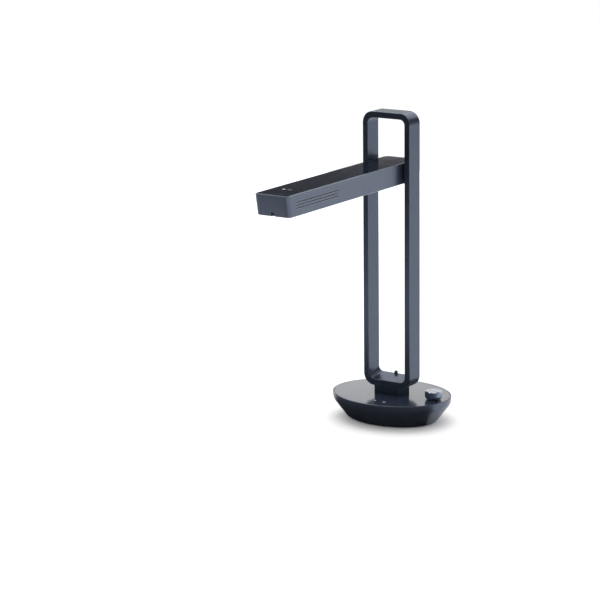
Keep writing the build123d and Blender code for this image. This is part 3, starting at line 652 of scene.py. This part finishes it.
# ---------------------------------------------------------------- studio
def studio_floor():
    half = 14.0
    floor = mesh_object("studio_floor", [(-half, -half, 0), (half, -half, 0), (half, half, 0), (-half, half, 0)],
                        [(0, 1, 2, 3)])
    g = Graph("studio_paper")
    grain = g.noise(g.place(), 400.0, 3.0, 0.6)
    tone = g.blend(grain, (0.91, 0.91, 0.912), (0.93, 0.93, 0.932))
    floor.data.materials.append(g.finish(base_color=tone, roughness=grain * 0.1 + 0.8, specular_ior_level=0.1))


def dark_flag(name, corners):
    """Dark studio card that only shows in reflections."""
    card = mesh_object(name, corners, [(0, 1, 2, 3)])
    g = Graph(name + "_felt")
    fibre = g.noise(g.place(), 700.0, 3.0, 0.6)
    tone = g.blend(fibre, (0.018, 0.018, 0.024), (0.03, 0.03, 0.038))
    card.data.materials.append(g.finish(base_color=tone, roughness=0.9, specular_ior_level=0.1))
    card.visible_camera = False
    card.visible_diffuse = False
    card.visible_shadow = False


def studio_flags():
    low = [(-0.195, -0.374, 0.0008), (0.205, -0.374, 0.0008), (0.205, -0.010, 0.0008), (-0.195, -0.012, 0.0008)]
    dark_flag("desk_flag", low)
    front = [(-1.9, -0.62, 0.0), (0.30, -0.62, 0.0), (0.30, -0.62, 1.3), (-1.9, -0.62, 1.3)]
    dark_flag("front_flag", front)


def soft_light(name, place, aim, width, height, glow, colour=(1, 1, 1)):
    """Square softbox; glow is its brightness, where 1 is white."""
    data = bpy.data.lights.new(name, "AREA")
    data.shape = "RECTANGLE"
    data.size = width
    data.size_y = height
    data.energy = glow * math.pi * width * height
    data.color = colour
    light = bpy.data.objects.new(name, data)
    light.location = place
    light.rotation_mode = "QUATERNION"
    light.rotation_quaternion = (Vector(aim) - Vector(place)).to_track_quat("-Z", "Y")
    light.visible_camera = False
    bpy.context.scene.collection.objects.link(light)
    return light


def studio_world():
    """Even white air that lights the floor, and shows dimly in reflections."""
    world = bpy.data.worlds.new("studio_air")
    world.use_nodes = True
    tree = world.node_tree
    back = tree.nodes["Background"]
    path = tree.nodes.new("ShaderNodeLightPath")
    mix = tree.nodes.new("ShaderNodeMix")
    mix.data_type = "RGBA"
    mix.inputs[6].default_value = (1.13, 1.13, 1.13, 1.0)
    mix.inputs[7].default_value = (0.05, 0.053, 0.06, 1.0)
    tree.links.new(path.outputs["Is Glossy Ray"], mix.inputs[0])
    tree.links.new(mix.outputs[2], back.inputs["Color"])
    back.inputs["Strength"].default_value = 1.0
    bpy.context.scene.world = world


def studio_lights():
    middle = (0.0, -0.05, 0.2)
    soft_light("rear_softbox", (-0.85, 1.30, 0.271), (0.0, 0.0, 0.271), 2.6, 0.542, 1.7)
    high = soft_light("high_rear_softbox", (-0.30, 1.25, 1.12), middle, 2.0, 0.6, 2.0)
    high.visible_diffuse = False
    left = soft_light("left_high_softbox", (-1.05, -0.30, 1.35), middle, 1.3, 1.0, 2.2)
    left.visible_diffuse = False
    soft_light("top_softbox", (-0.35, 0.25, 1.9), middle, 1.5, 1.3, 2.0)
    soft_light("right_softbox", (1.5, 0.9, 0.55), (0.0, 0.0, 0.2), 1.5, 1.1, 0.45, (0.97, 0.985, 1.0))
    strip = soft_light("front_strip", (0.085, -0.60, 0.25), (0.0, 0.0, 0.25), 0.05, 0.5, 1.6, (0.95, 0.97, 1.0))
    strip.visible_diffuse = False


# ---------------------------------------------------------------- build
paint_nodes()
vent_cloth(plated_steel("dark_wire", (0.040, 0.041, 0.046), 0.5))
port_contacts(plated_steel("gilt_contact", (0.83, 0.63, 0.30), 0.22))
grooved_foot(soft_rubber("grooved_rubber"))
studio_world()
studio_floor()
studio_flags()
studio_lights()
make_camera()
bpy.context.scene.view_settings.view_transform = "Standard"
